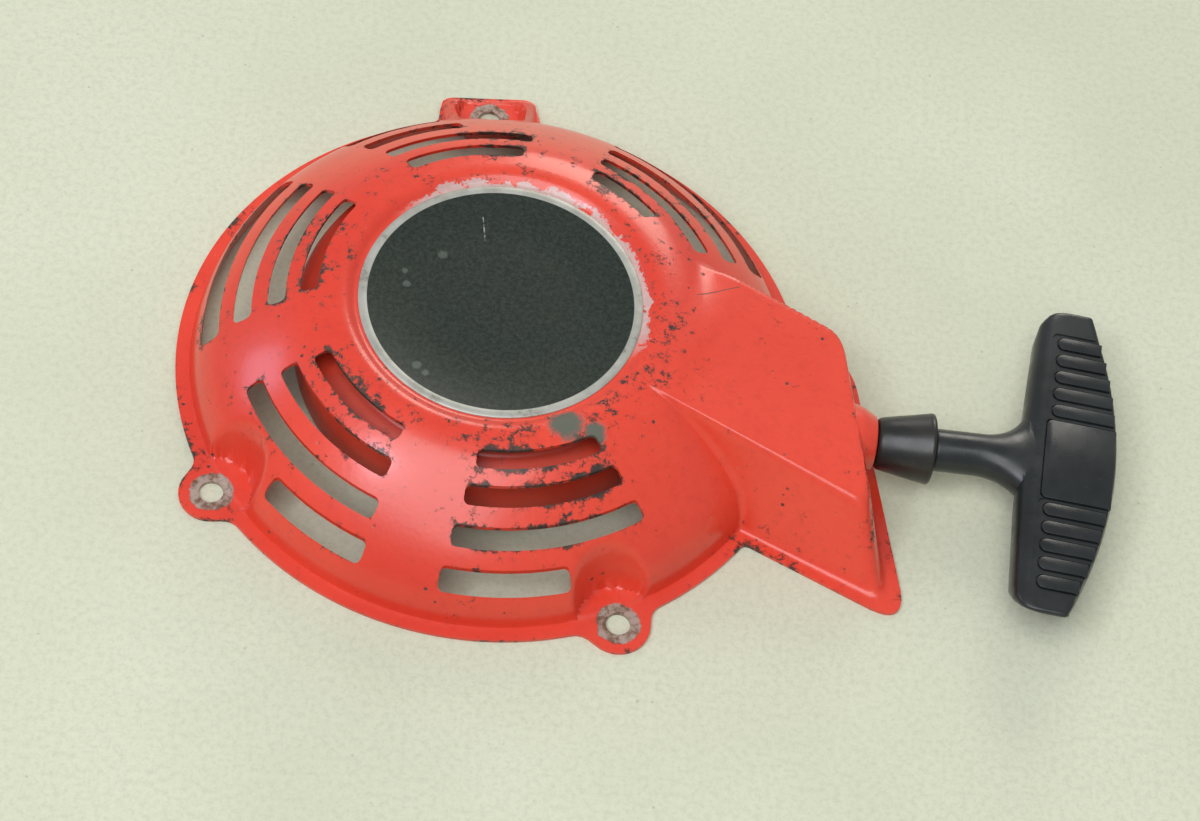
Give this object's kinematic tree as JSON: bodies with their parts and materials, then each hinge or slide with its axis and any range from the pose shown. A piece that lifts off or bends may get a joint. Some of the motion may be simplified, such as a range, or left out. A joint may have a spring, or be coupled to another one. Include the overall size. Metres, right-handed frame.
{
  "type": "recoil starter",
  "caption": "Pull-cord recoil starter: slotted pressed-steel cover with bolt ears and a rope snout, sprung reel with pawls inside, rubber bumper and T grip.",
  "frame": {"origin": "crank axis at the underside of the mounting flange", "axes": "+Z away from the engine towards the emblem, +X along the rope as it is pulled out"},
  "size_m": [0.2835, 0.2013, 0.0374],
  "materials": {
    "red_paint": "glossy red enamel on pressed steel, chipped, with rust specks",
    "inner_paint": "darker red enamel",
    "emblem_black": "black printed face with a bare satin rim",
    "black_rubber": "semi-matt",
    "grip_plastic": "satin, scuffed",
    "rope_cord": "braided cord",
    "zinc_steel": "zinc plated",
    "plain_steel": "plain, lightly oiled",
    "spring_steel": "dark tempered",
    "reel_plastic": "moulded",
    "bush_plastic": "moulded"
  },
  "bodies": {
    "case": {"starter_case": "red_paint", "reel_housing": "inner_paint", "emblem_plate": "emblem_black", "housing_rivet_1": "plain_steel", "housing_rivet_2": "plain_steel", "housing_rivet_3": "plain_steel", "housing_rivet_4": "plain_steel", "reel_shaft": "plain_steel", "rope_bush": "bush_plastic", "friction_washer": "zinc_steel", "centre_screw": "zinc_steel"},
    "handle": {"pull_handle": "grip_plastic", "rubber_bumper": "black_rubber", "rope_retainer": "zinc_steel", "rope_knot_grip": "rope_cord", "rope_lead": "rope_cord"},
    "reel": {"reel": "reel_plastic", "rope_coil": "rope_cord", "rope_knot_reel": "rope_cord", "recoil_spring": "spring_steel", "pawl_pin_a": "plain_steel", "pawl_pin_b": "plain_steel", "pawl_spring_a": "spring_steel", "pawl_spring_b": "spring_steel", "friction_spring": "spring_steel"},
    "ratchet_guide": {"ratchet_guide": "zinc_steel"},
    "pawl_a": {"pawl_a": "plain_steel"},
    "pawl_b": {"pawl_b": "plain_steel"}
  },
  "joints": [
    {"name": "handle_pull", "type": "slide", "parent": "case", "child": "handle", "axis": [1, 0, 0], "range_m": [0, 0.8], "stiffness_N_per_m": 12, "springref_m": -0.6, "deforming": ["rope_lead"]},
    {"name": "reel_spin", "type": "hinge", "parent": "case", "child": "reel", "pos_m": [0, 0, 0.015], "axis": [0, 0, 1], "range_deg": [-1045, 5], "deforming": ["recoil_spring", "rope_coil"]},
    {"name": "guide_lag", "type": "hinge", "parent": "reel", "child": "ratchet_guide", "pos_m": [0, 0, 0.0073], "axis": [0, 0, 1], "range_deg": [0, 35], "stiffness_Nm_per_rad": 0.004, "springref_deg": -11.46},
    {"name": "pawl_a_swing", "type": "hinge", "parent": "reel", "child": "pawl_a", "pos_m": [0.019, 0, 0.0107], "axis": [0, 0, 1], "range_deg": [-1, 31]},
    {"name": "pawl_b_swing", "type": "hinge", "parent": "reel", "child": "pawl_b", "pos_m": [-0.019, 0, 0.0107], "axis": [0, 0, 1], "range_deg": [-1, 31]}
  ],
  "couplings": [
    {"joint": "reel_spin", "follows": "handle_pull", "rad_per_m": -22.6},
    {"joint": "pawl_a_swing", "follows": "guide_lag", "ratio": 0.8571},
    {"joint": "pawl_b_swing", "follows": "guide_lag", "ratio": 0.8571}
  ]
}
